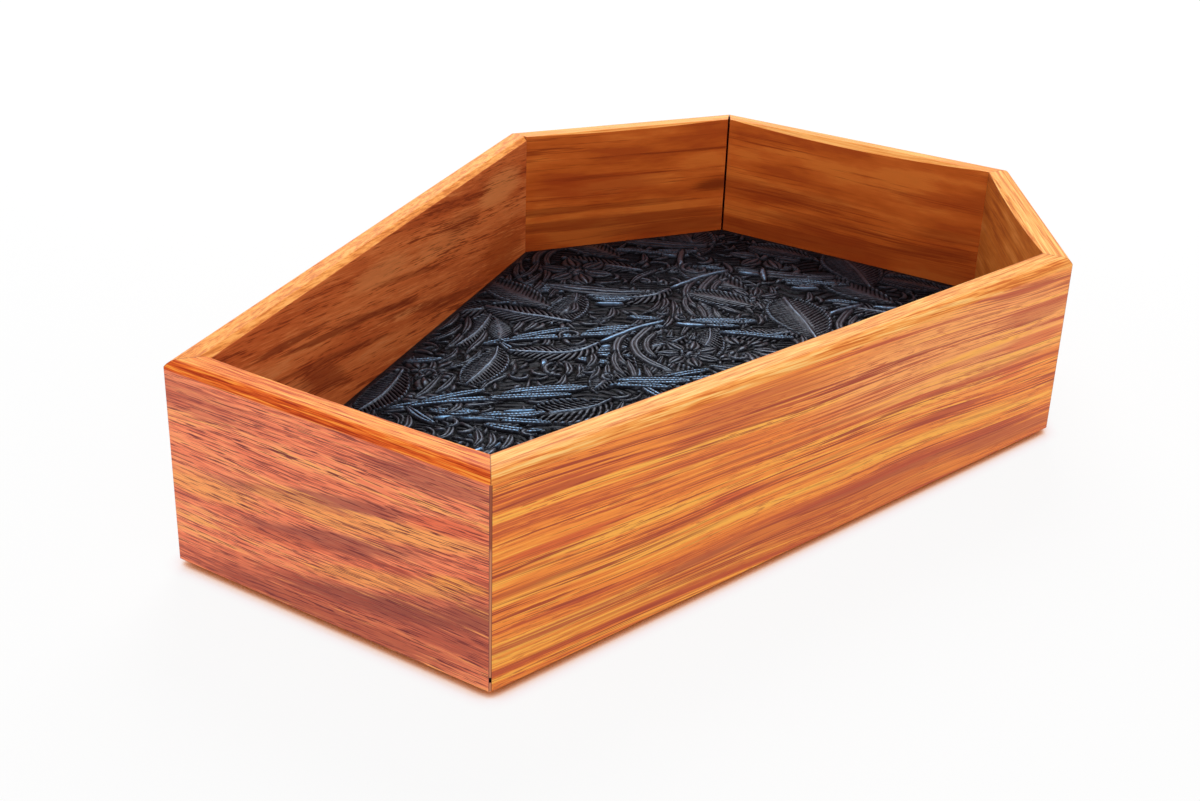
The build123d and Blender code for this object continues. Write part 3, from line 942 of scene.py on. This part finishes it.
def floor():
    """A plain pale floor that is white to the eye, apart from the tray's shadow and the painted shade and
    orange bounce light in the gap under the walls.
    """
    mesh = bpy.data.meshes.new("floor")
    made = bmesh.new()
    bmesh.ops.create_circle(made, cap_ends=True, radius=FLOOR_RADIUS, segments=64)
    made.to_mesh(mesh)
    made.free()
    plane = bpy.data.objects.new("floor", mesh)
    bpy.context.scene.collection.objects.link(plane)
    shader = Shader("white_floor")
    plane.data.materials.append(shader.finish(Roughness=0.7, Specular_IOR_Level=0.2))
    path = shader.tree.nodes.new("ShaderNodeLightPath").outputs
    seen = shader.math("MAXIMUM", path["Is Camera Ray"], path["Is Glossy Ray"])
    seen = shader.math("MAXIMUM", seen, path["Is Transmission Ray"])
    glow = shader.tree.nodes.new("ShaderNodeEmission")
    both = shader.tree.nodes.new("ShaderNodeMixShader")
    open_sky = shader.add("AmbientOcclusion", {"Distance": GAP_REACH_MM * MM}, out=1, samples=8)
    # Painted bounce light: the floor's colour turns orange where the gap under the walls closes it in.
    shader.finish(Base_Color=shader.ramp(open_sky, [(0.3, srgb(*PAINTED_GAP_BOUNCE_COLOUR)), (0.5, FLOOR_GREY)]))
    # Painted shade and bounce light: the floor as seen goes dark, then orange, in the gap under the walls.
    glow_with_painted_gap_shade = shader.ramp(open_sky, [(place, srgb(*colour)) for place, colour in FLOOR_GLOW_WITH_PAINTED_GAP_SHADE])
    shader.put(glow.inputs[0], glow_with_painted_gap_shade)
    whitened = shader.span(open_sky, 0.1, 0.3, 0.0, FLOOR_WHITENING)
    shader.put(both.inputs[0], shader.math("MULTIPLY", seen, whitened))
    shader.put(both.inputs[1], shader.surface.outputs[0])
    shader.put(both.inputs[2], glow.outputs[0])
    shader.put(shader.tree.nodes["Material Output"].inputs[0], both.outputs[0])


def lights():
    """A pale studio: bright in front and near the horizon, dim elsewhere, with a soft lamp high up behind."""
    world = bpy.data.worlds.new("studio")
    bpy.context.scene.world = world
    world.use_nodes = True
    nodes, links = world.node_tree.nodes, world.node_tree.links
    direction = nodes.new("ShaderNodeTexCoord").outputs["Generated"]
    split = nodes.new("ShaderNodeSeparateXYZ")
    links.new(direction, split.inputs[0])
    behind = nodes.new("ShaderNodeValToRGB")
    for element, (height, value) in zip(behind.color_ramp.elements, BEHIND):
        element.position, element.color = height, (value, value, value, 1)
    links.new(split.outputs[2], behind.inputs[0])
    facing = nodes.new("ShaderNodeVectorMath")
    facing.operation = "DOT_PRODUCT"
    facing.inputs[1].default_value = TOWARDS_VIEWER
    links.new(direction, facing.inputs[0])
    share = nodes.new("ShaderNodeMapRange")
    share.inputs[1].default_value, share.inputs[2].default_value = -0.1, 0.4
    links.new(facing.outputs["Value"], share.inputs[0])
    both = nodes.new("ShaderNodeMix")
    both.data_type = "RGBA"
    both.inputs[7].default_value = (IN_FRONT, IN_FRONT, IN_FRONT, 1)
    links.new(share.outputs[0], both.inputs[0])
    links.new(behind.outputs[0], both.inputs[6])
    links.new(both.outputs[2], nodes["Background"].inputs["Color"])

    lamp = bpy.data.lights.new("overhead", "AREA")
    lamp.shape = "DISK"
    lamp.size = LAMP_SIZE
    lamp.energy = LAMP_WATTS
    overhead = bpy.data.objects.new("overhead", lamp)
    overhead.location = LAMP_PLACE
    overhead.rotation_euler = (-overhead.location).to_track_quat("-Z", "Y").to_euler()
    bpy.context.scene.collection.objects.link(overhead)


def camera():
    """The photo's view, through a 50 mm lens on a full frame."""
    data = bpy.data.cameras.new("camera")
    data.lens = 50
    data.sensor_width = 36
    data.clip_end = 20
    seen = bpy.data.objects.new("camera", data)
    place, aim = Vector(CAMERA_PLACE), Vector(CAMERA_AIM)
    roll = Quaternion((0, 0, 1), math.radians(CAMERA_ROLL))
    seen.location = place
    seen.rotation_mode = "QUATERNION"
    seen.rotation_quaternion = (aim - place).to_track_quat("-Z", "Y") @ roll
    bpy.context.scene.collection.objects.link(seen)
    bpy.context.scene.camera = seen


for wall_name in WALLS:
    wear(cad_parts[wall_name], wood(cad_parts[wall_name], LOOKS[wall_name]))
wear(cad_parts["base_panel"], plywood())

floor_piece, leather_top = leather()
wear(floor_piece, leather_material(leather_top))
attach(floor_piece, BODY)
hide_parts("leather_liner")

pad_piece = felt_pad()
wear(pad_piece, felt_material())
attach(pad_piece, BODY)
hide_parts("underside_pad")

floor()
lights()
camera()
bpy.context.scene.view_settings.view_transform = "Standard"
